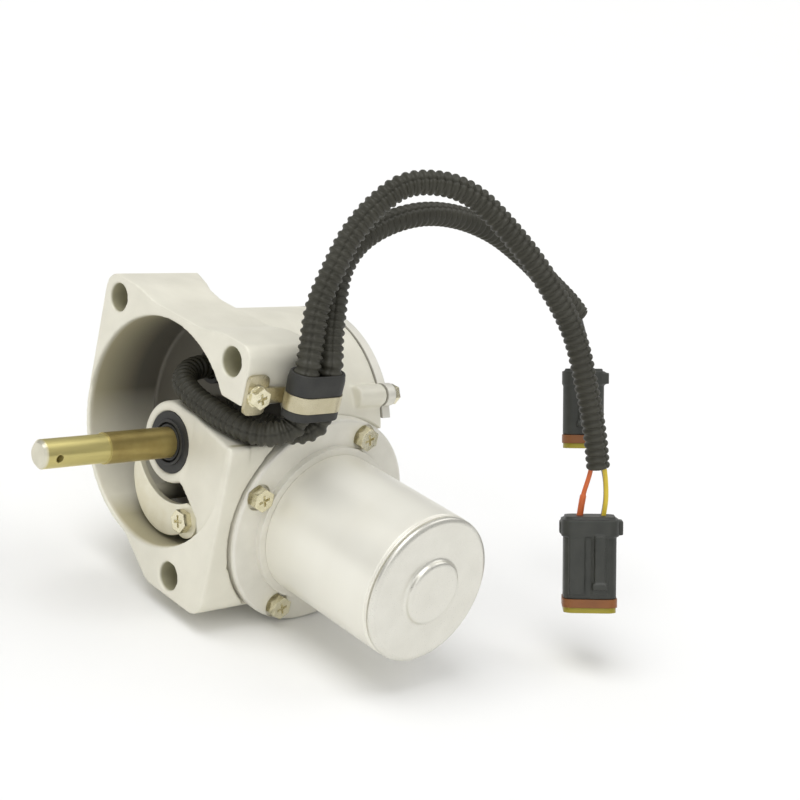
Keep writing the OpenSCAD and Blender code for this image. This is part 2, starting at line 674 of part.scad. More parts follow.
module wheel_profile() {
  step = 360 / wheel_teeth;
  top_r = wheel_pitch_r + tooth_up;
  root_r = wheel_pitch_r - tooth_down;
  half = [tooth_t / 2 + tooth_down * tan(20), tooth_t / 2, tooth_t / 2 - tooth_up * tan(20)];
  polygon([for (k = [0:wheel_teeth - 1]) let (a = (k + 0.5) * step - 90)
    for (q = [[-1, root_r, half[0]], [-1, wheel_pitch_r, half[1]], [-1, top_r, half[2]],
      [1, top_r, half[2]], [1, wheel_pitch_r, half[1]], [1, root_r, half[0]]])
      let (b = a + q[0] * q[2] / q[1] * 180 / PI) [q[1] * cos(b), q[1] * sin(b)]]);
}

module worm_wheel() color("darkkhaki") difference() {
  union() {
    translate([0, motor_y, 0]) rotate([90, 0, 0]) rotate([0, 0, wheel_twist / 2])
      linear_extrude(wheel_w, center = true, slices = 3, twist = wheel_twist) wheel_profile();
    y_rod(hub_r, wheel_back - 1, hub_back);
  }
  y_rod(shaft_r + seat_gap, wheel_front - 1, hub_back + 1);
  x_rod(pin_r + seat_gap, -2 * hub_r, 2 * hub_r, pin_y, 0, 48);
}

module wheel_pin() color("silver") x_rod(pin_r, 0.3 - hub_r, hub_r - 0.3, pin_y, 0, 48);

module sensor_wiper() color("peru") difference() {
  y_rod(sensor_bore_r - free_gap, hub_back, sensor_back - 0.5);
  y_rod(seat_r + seat_gap, hub_back - 1, sensor_back + 1);
}

module motor_shaft() color("silver") union() {
  x_rod(rotor_end_r, bush_end - bush_length + 1, nose_front - 10, sides = 64);
  x_rod(rotor_r, nose_front - 11, can_back + 1.5, sides = 64);
}

module worm_profile() {
  top = 180 / lead * (tooth_t - 2 * tooth_up * tan(20));
  foot = 180 / lead * (tooth_t + 2 * tooth_down * tan(20));
  polygon([for (k = [0:23]) let (a = 15 * k - 180, r = abs(a) <= top ? worm_pitch_r + tooth_up
    : abs(a) >= foot ? worm_pitch_r - tooth_down
    : worm_pitch_r + tooth_up - (tooth_up + tooth_down) * (abs(a) - top) / (foot - top))
      [r * cos(a), r * sin(a)]]);
}

module worm() color("gray") translate([0, motor_y, motor_z]) rotate([90, 0, 90]) difference() {
  rotate([0, 0, 90 - 180 * worm_length / lead]) linear_extrude(worm_length, center = true,
    twist = -360 * worm_length / lead, slices = ceil(12 * worm_length / lead)) worm_profile();
  cylinder(r = rotor_end_r + seat_gap, h = worm_length + 2, center = true, $fn = 64);
}

module armature_core() color("dimgray") difference() {
  x_rod(core_r, core_front, core_back);
  x_rod(rotor_r + seat_gap, core_front - 1, core_back + 1, sides = 64);
  translate([0, motor_y, motor_z]) for (k = [0:11]) rotate([30 * k, 0, 0])
    box([core_front - 1, core_r * 2 / 3, -1.5], [core_back + 1, core_r + 1, 1.5]);
}

module armature_winding() color("sienna") for (x = [core_front - winding_t, core_back]) difference() {
  x_rod(core_r - 2, x, x + winding_t);
  x_rod(rotor_r + seat_gap, x - 1, x + winding_t + 1, sides = 64);
}

module commutator() color("peru") difference() {
  x_rod(commutator_r, core_back + winding_t, can_back - motor_bearing_t, sides = 64);
  x_rod(rotor_r + seat_gap, core_back, can_back, sides = 64);
}

module motor_loom() color([0.09, 0.09, 0.1]) cord(motor_route, loom_r, 10);

module sensor_loom() color([0.09, 0.09, 0.1]) cord(sensor_route, loom_r, 10);

module orange_wire() color("orangered") cord(orange_route, wire_r, 8);

module yellow_wire() color("gold") cord(yellow_route, wire_r, 8);

module blue_wire() color("steelblue") cord(blue_route, wire_r, 8);

module sensor_wires() color([0.12, 0.12, 0.13]) for (route = sensor_wire_routes) cord(route, wire_r, 8);

// Upright block with rounded corners
module round_block(w, d, r, z0, z1) {
  box([-w / 2 + r, -d / 2, z0], [w / 2 - r, d / 2, z1]);
  box([-w / 2, -d / 2 + r, z0], [w / 2, d / 2 - r, z1]);
  for (x = [r - w / 2, w / 2 - r], y = [r - d / 2, d / 2 - r]) translate([x, y, z0])
    cylinder(r = r, h = z1 - z0, $fn = 32);
}

module motor_plug_body() color([0.2, 0.2, 0.21]) translate(motor_plug_at) rotate(plug_turn) {
  round_block(22.6, 20, 4.4, -7.4, -0.8);
  round_block(20, 17.4, 4, -2, 0.4);
  box([10.4, -5, -7], [13, 5, -1.4]);
  box([-12, -4, -6.6], [-10.4, 4, -2]);
  round_block(20.8, 18.2, 4, -32, -6.8);
  round_block(17.4, 14.8, 3, -35.3, -31.8);
  for (x = [-8.4, 0.6]) box([x, -9.7, -30], [x + 6.2, 9.7, -6.8]);
  box([1.6, -11, -25.6], [5.8, -8.6, -6.8]);
  box([0.8, -11.6, -28], [6.6, -8.6, -25.6]);
}

module motor_plug_seal() color("orangered") translate(motor_plug_at) rotate(plug_turn) difference() {
  round_block(21.6, 19, 4.2, -35.3, -32);
  round_block(17.5, 14.9, 3, -36, -31.8);
}

module motor_plug_face() color("yellowgreen") translate(motor_plug_at) rotate(plug_turn) difference() {
  round_block(20.6, 18, 4, -37.4, -35.3);
  for (x = [-5.8, 5.8], y = [-4.4, 4.4]) translate([x, y, -38]) cylinder(r = 1.6, h = 4, $fn = 32);
  box([-2.2, -4.4, -38], [2.2, 4.4, -35]);
}

// Upright block on a rounded triangle
module three_block(w, r, z0, z1) {
  translate([0, 0, z0]) linear_extrude(z1 - z0) hull() {
    for (p = [[-w / 2 + r, r - w * 0.42], [w / 2 - r, r - w * 0.42], [0, w * 0.46 - r]]) translate(p)
      circle(r = r, $fn = 32);
  }
}

module sensor_plug_body() color([0.2, 0.2, 0.21]) translate(sensor_plug_at) rotate(plug_turn) {
  three_block(18.8, 5, -6.6, -0.8);
  three_block(16.4, 4.4, -2, 0.4);
  box([8, -6.8, -6.2], [10.8, -2.4, -1.4]);
  three_block(17.8, 4.6, -28.4, -6);
  three_block(14.4, 3.8, -32, -28.2);
  box([-2, -9.2, -22.4], [2, -5, -6]);
  box([-2.7, -9.8, -24.6], [2.7, -5, -22.4]);
}

module sensor_plug_seal() color("orangered") translate(sensor_plug_at) rotate(plug_turn) difference() {
  three_block(18.4, 4.7, -32, -28.4);
  three_block(14.5, 3.8, -33, -28.2);
}

module sensor_plug_face() color("yellowgreen") translate(sensor_plug_at) rotate(plug_turn) difference() {
  three_block(17.4, 4.5, -34.2, -32);
  for (p = [[-4.4, -4, 1], [4.4, -4, 1], [0, 4.2, 1], [-2.8, 0.4, 0.7], [2.8, 0.4, 0.7], [0, -4.6, 0.7],
    [0, -1.4, 1.7]]) translate([p[0], p[1], -35]) cylinder(r = p[2], h = 4, $fn = 32);
}

housing();
rear_gasket();
rear_cover();
rear_screws();
shaft_seal();
front_bearing();
rear_bearing();
worm_bush();
sensor_body();
sensor_screws();
guard_plate();
guard_screws();
motor_gasket();
motor_flange();
motor_screws();
motor_can();
motor_magnets();
motor_bearings();
brush_holder();
brushes();
motor_end_cap();
loom_clip_band();
loom_clip_cushion();
loom_clip_screw();
loom_grommets();
output_shaft();
worm_wheel();
wheel_pin();
sensor_wiper();
motor_shaft();
worm();
armature_core();
armature_winding();
commutator();
motor_loom();
sensor_loom();
orange_wire();
yellow_wire();
blue_wire();
sensor_wires();
motor_plug_body();
motor_plug_seal();
motor_plug_face();
sensor_plug_body();
sensor_plug_seal();
sensor_plug_face();
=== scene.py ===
"""Engine governor actuator: finishes for every solid, and turned, swept and lofted pieces, in metres."""
import json

import bmesh
import bpy
import numpy as np
from mathutils import Matrix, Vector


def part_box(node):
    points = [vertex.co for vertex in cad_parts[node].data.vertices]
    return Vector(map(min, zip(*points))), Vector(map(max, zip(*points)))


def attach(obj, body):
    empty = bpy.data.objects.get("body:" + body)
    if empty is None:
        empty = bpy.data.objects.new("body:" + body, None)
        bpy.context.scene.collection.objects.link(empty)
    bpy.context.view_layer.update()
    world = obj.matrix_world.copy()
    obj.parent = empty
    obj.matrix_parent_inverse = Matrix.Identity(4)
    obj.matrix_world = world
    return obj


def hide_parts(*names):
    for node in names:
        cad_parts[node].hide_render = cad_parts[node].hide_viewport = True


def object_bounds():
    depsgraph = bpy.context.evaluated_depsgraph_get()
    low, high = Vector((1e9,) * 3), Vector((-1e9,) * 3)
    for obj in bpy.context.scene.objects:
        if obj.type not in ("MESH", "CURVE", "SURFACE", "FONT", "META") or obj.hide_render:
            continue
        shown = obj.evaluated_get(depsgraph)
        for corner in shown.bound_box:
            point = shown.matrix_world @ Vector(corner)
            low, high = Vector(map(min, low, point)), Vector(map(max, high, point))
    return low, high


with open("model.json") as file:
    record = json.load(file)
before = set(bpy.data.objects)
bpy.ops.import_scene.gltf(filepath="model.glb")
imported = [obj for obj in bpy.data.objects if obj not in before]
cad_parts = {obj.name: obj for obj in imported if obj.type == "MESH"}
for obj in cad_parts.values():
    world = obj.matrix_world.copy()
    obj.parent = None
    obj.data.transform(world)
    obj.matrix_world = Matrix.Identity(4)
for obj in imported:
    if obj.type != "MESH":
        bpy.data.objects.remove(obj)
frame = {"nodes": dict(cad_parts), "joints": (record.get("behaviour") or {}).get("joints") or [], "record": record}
solid_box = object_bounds()

MM = 0.001
NODES = frame["nodes"]
JOINTS = {joint["name"]: joint for joint in frame["joints"]}
BORES = [mount for mount in frame["record"]["mounts"] if mount["kind"] == "bore"]

# View of the photograph: angles in degrees, places in millimetres
VIEW_AZIMUTH = 42.92
VIEW_ELEVATION = 17.25
VIEW_ROLL = 12.93
VIEW_CENTRE = (57.2, 68.3, 35.7)
VIEW_DISTANCE = 639.0
VIEW_LENS = 75.66
SENSOR_WIDTH = 36.0

# Lamps: name, azimuth, elevation and width in degrees, and power
LAMPS = [
    ("key_light", -10, 70, 40, 1.2),
    ("back_light", 165, 50, 40, 0.40),
    ("fill_light", 48, 30, 55, 0.48)]

# Strength of the sky at the horizon, in the dark band above it and overhead
SKY_HORIZON = 1.0
SKY_BAND = 0.12
SKY_OVERHEAD = 0.62

# Half the floor's width in metres, and the gap under the lowest point in millimetres
FLOOR_REACH = 15.0
FLOOR_GAP = 0.3

# Front recess of the casting, in millimetres
RECESS_R = 44.0
RECESS_DEPTH = 33.0
RECESS_AXIS_Z = 5.0

# Heights and depths in the recess between which painted shade comes or goes, in millimetres
SHADED_WALL_ABOVE = (-16, 5)
SHADED_WALL_BELOW = (-36.5, -32)
SHADED_POSTS_BEHIND = (14, 24)
SHADE_DEEPENS_BEHIND = (1, 23)

# Length of the shaft's stepped end, in millimetres
SHAFT_END_LENGTH = 28.0

# New mesh of the casting and of the plug bodies: step in millimetres, smoothing passes, share that is kept
CAST_STEP = 0.6
CAST_PASSES = 12
CAST_SHARE = 0.36
PLUG_STEP = 0.4
PLUG_PASSES = 3

# Motor can and its lid, in millimetres; a turned profile that reaches the axis starts at AXIS_R
CAN_WALL = 2.0
LID_POCKET_R = 8.02
LID_HOLE_R = 4.4
LID_HUB_R = 12.2
AXIS_R = 0.3
LATHE_SIDES = 160

# Clip of the looms, in millimetres, with the heights of its bottom, both edges of its band and its top
CLIP_X = 54.6
CLIP_Y = (20.0, 31.0)
CLIP_Z = (31.0, 34.5, 40.5, 48.5)
CUSHION_R = 5.75
CUSHION_LIP_R = 6.25

# Looms, in millimetres, with the angles of their slit in radians
LOOM_R = 4.75
LOOM_RIB_PITCH = 3.0
LOOM_RIB_DEPTH = 0.8
LOOM_RIB_SQUARENESS = 1.5
LOOM_RINGS_PER_RIB = 10
LOOM_WALL = 0.7
LOOM_SIDES = 26
LOOM_END_RINGS = 16
SLIT_ANGLE = 0.05
SLIT_EDGE_ANGLE = 0.13
SLIT_DEPTH = 0.5
MOTOR_ROUTE = [
    (-10, RECESS_DEPTH, 26.5), (-10, 27.5, 26.5), (-8.6, 20, 26), (-4.4, 13.8, 25), (1.5, 9.8, 24),
    (9, 8, 22.9), (19, 8, 21.9), (31, 8, 21.6), (42, 9, 21.8), (50, 13.2, 23), (CLIP_X - 0.8, 18, 26),
    (CLIP_X, CLIP_Y[0], 30), (CLIP_X, CLIP_Y[0], 50), (52.5, 21.5, 57), (48.5, 24.5, 71),
    (47.5, 29.5, 85.5), (47, 35, 97.5), (48, 42.5, 108.5), (50.5, 53, 117.5), (56, 66.5, 120),
    (61.5, 78.5, 117), (69, 91.5, 107.5), (78, 107, 92.5), (87, 122, 73), (94, 132, 50), (99, 138, 32),
    (102, 141, 20)]
SENSOR_ROUTE = [
    (16, RECESS_DEPTH, 27), (16, 29, 27), (18.2, 23, 26), (23.5, 19, 24), (30, 18, 22.4), (36, 18.6, 21.8),
    (42, 20.8, 21.8), (50, 25.2, 23), (CLIP_X - 0.8, 29.5, 26), (CLIP_X, CLIP_Y[1], 30),
    (CLIP_X, CLIP_Y[1], 50), (51, 32.5, 57), (46, 35.5, 67), (40, 40, 81), (37.5, 48, 91.5), (36.5, 62, 99),
    (36.5, 80, 103), (36.5, 100, 102), (37.5, 121, 96.5), (39, 141, 87), (40, 158, 77), (43, 172, 68),
    (45, 178, 63)]

# Wires, in millimetres, with the share of its length at which a wire's sleeve starts
WIRE_R = 0.95
WIRE_STEP = 0.4
WIRE_SIDES = 18
SLEEVE_WALL = 0.35
SLEEVE_START = 0.62
SLEEVE_SOFTNESS = 0.3
ORANGE_ROUTE = [(100.1, 138.9, 23), (100.3, 139.2, 16), (101.1, 137.6, 8), (102.4, 137.2, -1.6)]
YELLOW_ROUTE = [(103, 141.8, 23), (105.1, 143.6, 16), (107.8, 143.8, 8), (109.2, 143.5, -0.5)]
BLUE_ROUTE = [(101.2, 142.5, 23), (103.7, 145.1, 15.5), (106.4, 145.4, 7.5), (107.8, 145.1, -1.4)]
SENSOR_WIRE_ROUTES = [
    [(43.2, 176, 65), (44, 183, 54), (43, 189, 45), (41, 191, 35)],
    [(44.6, 177.4, 65), (45.8, 184.6, 54), (44.8, 191, 45), (43.6, 193.4, 35)],
    [(45.8, 175.6, 65), (47.2, 183, 54), (46.6, 190, 45), (46, 195.6, 35)]]

# Points of a cubic before they are spaced evenly
CUBIC_POINTS = 4000

# Places of the colour sockets on a Mix node
MIX_FIRST = 6
MIX_SECOND = 7
MIX_RESULT = 2


# Finishes

def start_finish(name, colour, metallic, roughness, gloss=0.5):
    """One shader on its output. What is the same all over the surface is set on the shader's own sockets."""
    material = bpy.data.materials.new(name)
    material.use_nodes = True
    tree = material.node_tree
    shader = tree.nodes["Principled BSDF"]
    shader.inputs["Base Color"].default_value = (*colour, 1)
    shader.inputs["Metallic"].default_value = metallic
    shader.inputs["Roughness"].default_value = roughness
    shader.inputs["Specular IOR Level"].default_value = gloss
    return material, tree, shader


def placed_noise(tree, size_mm, stretch=(1, 1, 1), detail=4.0):
    """Noise on Object coordinates with lumps about size_mm across, drawn out where stretch is below 1."""
    place = tree.nodes.new("ShaderNodeTexCoord")
    mapping = tree.nodes.new("ShaderNodeMapping")
    mapping.inputs["Scale"].default_value = stretch
    noise = tree.nodes.new("ShaderNodeTexNoise")
    noise.inputs["Scale"].default_value = 1 / (size_mm * MM)
    noise.inputs["Detail"].default_value = detail
    tree.links.new(place.outputs["Object"], mapping.inputs["Vector"])
    tree.links.new(mapping.outputs["Vector"], noise.inputs["Vector"])
    return noise.outputs["Fac"]


def split_place(tree, kind="Object"):
    """X, Y and Z of the place on a surface, or of a direction in the sky, as three sockets."""
    place = tree.nodes.new("ShaderNodeTexCoord")
    split = tree.nodes.new("ShaderNodeSeparateXYZ")
    tree.links.new(place.outputs[kind], split.inputs["Vector"])
    return split.outputs["X"], split.outputs["Y"], split.outputs["Z"]


def spread(tree, value, low, high, start=0.3, end=0.7):
    """The value between start and end, drawn out from low to high."""
    node = tree.nodes.new("ShaderNodeMapRange")
    for socket, number in (("From Min", start), ("From Max", end), ("To Min", low), ("To Max", high)):
        node.inputs[socket].default_value = number
    tree.links.new(value, node.inputs["Value"])
    return node.outputs["Result"]


def rise(tree, length, start_mm, end_mm):
    """0 where the length is below start_mm, 1 where it is above end_mm, and even in between."""
    return spread(tree, length, 0, 1, start_mm * MM, end_mm * MM)


def fall(tree, length, start_mm, end_mm):
    """1 where the length is below start_mm, 0 where it is above end_mm, and even in between."""
    return spread(tree, length, 1, 0, start_mm * MM, end_mm * MM)


def mixed(tree, factor, first, second):
    """Colour that goes from first to second with the factor; each is a colour or another colour's socket."""
    node = tree.nodes.new("ShaderNodeMix")
    node.data_type = "RGBA"
    tree.links.new(factor, node.inputs["Factor"])
    for place, colour in ((MIX_FIRST, first), (MIX_SECOND, second)):
        if isinstance(colour, bpy.types.NodeSocket):
            tree.links.new(colour, node.inputs[place])
        else:
            node.inputs[place].default_value = (*colour, 1)
    return node.outputs[MIX_RESULT]


def combined(tree, operation, total, *others):
    """Values joined one after the other by the same operation; each is a number or a socket."""
    for other in others:
        node = tree.nodes.new("ShaderNodeMath")
        node.operation = operation
        for socket, value in zip(node.inputs, (total, other)):
            if isinstance(value, bpy.types.NodeSocket):
                tree.links.new(value, socket)
            else:
                socket.default_value = value
        total = node.outputs["Value"]
    return total


def distance_to(tree, x, z, line_x, line_z):
    """Distance of the place (x, z) from the line along Y that is at line_x and line_z, in millimetres."""
    across = combined(tree, "SUBTRACT", x, line_x * MM)
    raised = combined(tree, "SUBTRACT", z, line_z * MM)
    squares = [combined(tree, "MULTIPLY", side, side) for side in (across, raised)]
    return combined(tree, "SQRT", combined(tree, "ADD", *squares), 0)


def add_relief(tree, shader, height, depth_mm, strength, edge_mm=0):
    """Bump of the given depth, over edges that are rounded in the shading by edge_mm where that is given."""
    bump = tree.nodes.new("ShaderNodeBump")
    bump.inputs["Distance"].default_value = depth_mm * MM
    bump.inputs["Strength"].default_value = strength
    tree.links.new(height, bump.inputs["Height"])
    if edge_mm:
        edge = tree.nodes.new("ShaderNodeBevel")
        edge.samples = 6
        edge.inputs["Radius"].default_value = edge_mm * MM
        tree.links.new(edge.outputs["Normal"], bump.inputs["Normal"])
    tree.links.new(bump.outputs["Normal"], shader.inputs["Normal"])


def grained(name, colour, shade, metallic=0, roughness=0.4, grain_mm=0.5, depth_mm=0.05, patch_mm=9,
            edge_mm=0.3, stretch=(1, 1, 1), strength=0.35, gloss=0.5):
    """Finish that drifts from colour to shade in patches, with a fine grain in its relief and its gloss."""
    material, tree, shader = start_finish(name, colour, metallic, roughness, gloss)
    patches = spread(tree, placed_noise(tree, patch_mm, stretch), 0, 1)
    tree.links.new(mixed(tree, patches, colour, shade), shader.inputs["Base Color"])
    grain = placed_noise(tree, grain_mm, stretch, detail=3.0)
    tree.links.new(spread(tree, grain, roughness - 0.06, roughness + 0.08), shader.inputs["Roughness"])
    add_relief(tree, shader, grain, depth_mm, strength, edge_mm)
    return material


def recess_painted_shade(tree, depth, height, reach):
    """1 where shade is painted in the recess: its floor, its wall above and at the very bottom, and what
    stands deep in it. 0 near the front rim, beyond the wall and behind the floor."""
    shaded_heights = combined(tree, "MAXIMUM", rise(tree, height, *SHADED_WALL_ABOVE),
                             fall(tree, height, *SHADED_WALL_BELOW))
    wall = combined(tree, "MULTIPLY", rise(tree, reach, RECESS_R - 1.6, RECESS_R - 0.6), shaded_heights)
    bottom = rise(tree, depth, RECESS_DEPTH - 1.6, RECESS_DEPTH - 0.8)
    posts = combined(tree, "MULTIPLY", rise(tree, depth, *SHADED_POSTS_BEHIND),
                     fall(tree, reach, RECESS_R - 2.6, RECESS_R - 1.6))
    within = fall(tree, reach, RECESS_R + 0.6, RECESS_R + 1.2)
    behind_rim = rise(tree, depth, 1.0, 3.0)
    before_floor = fall(tree, depth, RECESS_DEPTH + 0.6, RECESS_DEPTH + 1.0)
    painted_shade = combined(tree, "MAXIMUM", wall, bottom, posts)
    return combined(tree, "MULTIPLY", painted_shade, within, behind_rim, before_floor)


def cast_housing():
    """Blasted alloy casting: pale warm silver with a fine grain. Shade is painted into the recess, olive near
    its rim and dark towards its floor, and painted shade darkens the bolt holes behind their rims."""
    silver, shade = (0.84, 0.815, 0.70), (0.77, 0.745, 0.635)
    # Colours of painted shade: olive near the recess rim, dark deeper in, and a dull olive inside the bolt holes
    painted_olive_shade, dark, painted_hole_shade = (0.55, 0.505, 0.34), (0.15, 0.14, 0.115), (0.44, 0.42, 0.29)
    material, tree, shader = start_finish("cast_housing", silver, metallic=0.15, roughness=0.46)
    x, depth, height = split_place(tree)
    reach = distance_to(tree, x, height, 0, RECESS_AXIS_Z)
    blasted = mixed(tree, spread(tree, placed_noise(tree, 14), 0, 1), silver, shade)
    # Painted shade in the recess, olive near its rim and dark towards its floor
    painted_shade = mixed(tree, rise(tree, depth, *SHADE_DEEPENS_BEHIND), painted_olive_shade, dark)
    colour = mixed(tree, recess_painted_shade(tree, depth, height, reach), blasted, painted_shade)
    # Painted shade inside each bolt hole, behind its rim
    for bore in BORES:
        bore_x, _, bore_z = np.asarray(bore["pos_m"]) / MM
        radius = bore["dims"]["r_mm"]
        near = fall(tree, distance_to(tree, x, height, bore_x, bore_z), radius + 0.3, radius + 0.7)
        wall = combined(tree, "MULTIPLY", near, rise(tree, depth, 0.3, 1.4))
        colour = mixed(tree, wall, colour, painted_hole_shade)
    tree.links.new(colour, shader.inputs["Base Color"])
    grain = placed_noise(tree, 0.55, detail=3.0)
    tree.links.new(spread(tree, grain, 0.40, 0.54), shader.inputs["Roughness"])
    add_relief(tree, shader, grain, depth_mm=0.06, strength=0.3)
    return material


def zinc_shaft():
    """Gold zinc on a turned shaft: fine rings from the lathe, which draw its gloss out along its length,
    brown on the journal, paler on the stepped end and bare on the end face."""
    steel, pale = (0.74, 0.71, 0.58), (0.64, 0.56, 0.23)
    gold, brown = (0.44, 0.35, 0.13), (0.34, 0.26, 0.09)
    material, tree, shader = start_finish("zinc_shaft", gold, metallic=0.8, roughness=0.4)
    shader.inputs["Anisotropic"].default_value = 0.9
    shader.inputs["Anisotropic Rotation"].default_value = 0.25
    around = tree.nodes.new("ShaderNodeTangent")
    around.direction_type = "RADIAL"
    around.axis = "Y"
    tree.links.new(around.outputs["Tangent"], shader.inputs["Tangent"])
    _, along, _ = split_place(tree)
    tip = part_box("output_shaft")[0][1] / MM
    shoulder = tip + SHAFT_END_LENGTH
    journal = mixed(tree, spread(tree, placed_noise(tree, 7), 0, 1), gold, brown)
    coated = mixed(tree, rise(tree, along, shoulder - 0.4, shoulder + 0.4), pale, journal)
    colour = mixed(tree, fall(tree, along, tip + 0.6, tip + 1.6), coated, steel)
    tree.links.new(colour, shader.inputs["Base Color"])
    rings = placed_noise(tree, 0.25, stretch=(0.02, 1, 0.02), detail=3.0)
    tree.links.new(spread(tree, rings, 0.35, 0.39), shader.inputs["Roughness"])
    add_relief(tree, shader, rings, depth_mm=0.003, strength=0.1, edge_mm=0.4)
    return material


# Looks of the bare and plated metals. The can's grain runs round the motor's line, which is along X
METALS = {
    "machined_alloy": dict(colour=(0.84, 0.82, 0.74), shade=(0.77, 0.75, 0.67), metallic=0.3, edge_mm=0.6),
    "plated_can": dict(
        colour=(0.90, 0.885, 0.80), shade=(0.86, 0.84, 0.75), metallic=0.3, roughness=0.36, grain_mm=0.35,
        depth_mm=0.012, patch_mm=30, edge_mm=0, stretch=(1, 0.03, 0.03), strength=0.2),
    "lid_alloy": dict(
        colour=(0.78, 0.765, 0.695), shade=(0.73, 0.715, 0.645), metallic=0.75, roughness=0.32,
        grain_mm=0.4, depth_mm=0.02),
    "guard_zinc": dict(
        colour=(0.90, 0.87, 0.73), shade=(0.84, 0.80, 0.64), metallic=0.4, roughness=0.36, grain_mm=0.3,
        depth_mm=0.02, patch_mm=5, edge_mm=0.5),
    "yellow_zinc": dict(
        colour=(0.86, 0.81, 0.62), shade=(0.74, 0.69, 0.49), metallic=0.95, roughness=0.24, grain_mm=0.3,
        depth_mm=0.02, patch_mm=2.5, edge_mm=0.35),
    "steel": dict(
        colour=(0.58, 0.53, 0.38), shade=(0.51, 0.46, 0.31), metallic=0.9, roughness=0.30, grain_mm=0.3,
        depth_mm=0.02, patch_mm=6),
    "bronze": dict(colour=(0.60, 0.43, 0.20), shade=(0.50, 0.35, 0.16), metallic=0.9, roughness=0.34),
    "ferrite": dict(colour=(0.06, 0.06, 0.065), shade=(0.09, 0.09, 0.09), metallic=0.2, roughness=0.6),
    "copper": dict(colour=(0.62, 0.30, 0.15), shade=(0.50, 0.22, 0.10), metallic=0.9, roughness=0.35)}

# Looks of the paper, rubber and plastics
SOFT_MATERIALS = {
    "gasket_paper": dict(colour=(0.42, 0.40, 0.34), shade=(0.34, 0.32, 0.27), roughness=0.8),
    "black_rubber": dict(
        colour=(0.023, 0.023, 0.021), shade=(0.033, 0.033, 0.029), roughness=0.55, grain_mm=0.4,
        patch_mm=5, edge_mm=0.5),
    "dark_plastic": dict(colour=(0.05, 0.05, 0.052), shade=(0.07, 0.07, 0.07), roughness=0.5),
    "loom_black": dict(
        colour=(0.038, 0.0365, 0.026), shade=(0.052, 0.050, 0.037), roughness=0.48, depth_mm=0.04,
        patch_mm=12, edge_mm=0, gloss=0.35),
    "wire_black": dict(colour=(0.03, 0.03, 0.03), shade=(0.045, 0.045, 0.045), edge_mm=0),
    "wire_orange": dict(colour=(0.72, 0.16, 0.04), shade=(0.62, 0.13, 0.035), edge_mm=0),
    "wire_yellow": dict(colour=(0.82, 0.62, 0.05), shade=(0.72, 0.54, 0.05), edge_mm=0),
    "wire_blue": dict(colour=(0.10, 0.14, 0.34), shade=(0.08, 0.11, 0.28), edge_mm=0),
    "plug_charcoal": dict(
        colour=(0.029, 0.031, 0.026), shade=(0.041, 0.043, 0.036), roughness=0.48, grain_mm=0.35,
        depth_mm=0.04, patch_mm=6, edge_mm=0.4),
    "seal_orange": dict(colour=(0.25, 0.09, 0.022), shade=(0.205, 0.073, 0.02), roughness=0.45),
    "wedge_green": dict(colour=(0.36, 0.30, 0.02), shade=(0.31, 0.26, 0.02), roughness=0.42)}

# Each slot of the record has a finish here, and the lid of the can and the guard plate have their own
FINISHES = {"cast_alloy": cast_housing(), "gold_zinc": zinc_shaft()}
for slot_name, look in {**METALS, **SOFT_MATERIALS}.items():
    FINISHES[slot_name] = grained(slot_name, **look)


# Surfaces

def rounded(corners, radius, steps=5):
    """Corners joined by straight lines, each inner corner swapped for a quadratic arc that starts and ends
    at the given distance from it, or at 45% of its shorter side."""
    corners = np.asarray(corners, float)
    t = np.linspace(0, 1, steps)[:, None]
    line = [corners[:1]]
    for before, corner, after in zip(corners[:-2], corners[1:-1], corners[2:]):
        back, ahead = before - corner, after - corner
        cut = min(radius, 0.45 * min(np.linalg.norm(back), np.linalg.norm(ahead)))
        start = corner + back * cut / np.linalg.norm(back)
        end = corner + ahead * cut / np.linalg.norm(ahead)
        line.append((1 - t) ** 2 * start + 2 * t * (1 - t) * corner + t ** 2 * end)
    return np.concatenate(line + [corners[-1:]])


def placed_piece(name, mesh, slot, node, finish=None):
    """Piece that stands for a solid of the housing, in its slot's finish or in the one that is named."""
    piece = bpy.data.objects.new(name, mesh)
    bpy.context.scene.collection.objects.link(piece)
    mesh.materials.clear()
    mesh.materials.append(FINISHES[finish or slot])
    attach(piece, "housing")
    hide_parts(node)
    return piece


def skin(name, rings, slot, node, ring_closed=False, sharp=35, finish=None):
    """Closed surface from a grid of points in millimetres: ring i holds its points in order round it. Next
    points and next rings are joined by quads. The rings run back into the first one, or the end rings get
    a fan. Edges that turn by more than the angle sharp, in degrees, stay sharp."""
    count, around = rings.shape[:2]
    points = rings.reshape(-1, 3)
    last = count if ring_closed else count - 1
    i, j = np.meshgrid(np.arange(last), np.arange(around), indexing="ij")
    here, beside = i * around + j, i * around + (j + 1) % around
    above, beyond = (i + 1) % count * around + j, (i + 1) % count * around + (j + 1) % around
    faces = np.stack([here, beside, beyond, above], -1).reshape(-1, 4).tolist()
    if not ring_closed:
        ends = np.stack([rings[0].mean(0), rings[-1].mean(0)])
        k = np.arange(around)
        for centre, first in ((len(points), 0), (len(points) + 1, (count - 1) * around)):
            fan = np.stack([np.full(around, centre), first + k, first + (k + 1) % around], -1)
            faces += fan.tolist()
        points = np.concatenate([points, ends])
    mesh = bpy.data.meshes.new(name)
    mesh.from_pydata((points * MM).tolist(), [], faces)
    shell = bmesh.new()
    shell.from_mesh(mesh)
    bmesh.ops.recalc_face_normals(shell, faces=shell.faces)
    shell.to_mesh(mesh)
    shell.free()
    mesh.shade_smooth()
    mesh.set_sharp_from_angle(angle=np.radians(sharp))
    piece = placed_piece(name, mesh, slot, node, finish)
    piece.modifiers.new("even_shading", "WEIGHTED_NORMAL").keep_sharp = True
    return piece


def turned(profile, centre):
    """Points of a profile of (x, radius) pairs turned round the line along X through the centre (y, z)."""
    angle = np.linspace(0, 2 * np.pi, LATHE_SIDES, endpoint=False)
    x, r = np.asarray(profile).T
    return np.stack(np.broadcast_arrays(x[:, None], centre[0] + r[:, None] * np.cos(angle),
                                        centre[1] + r[:, None] * np.sin(angle)), -1)


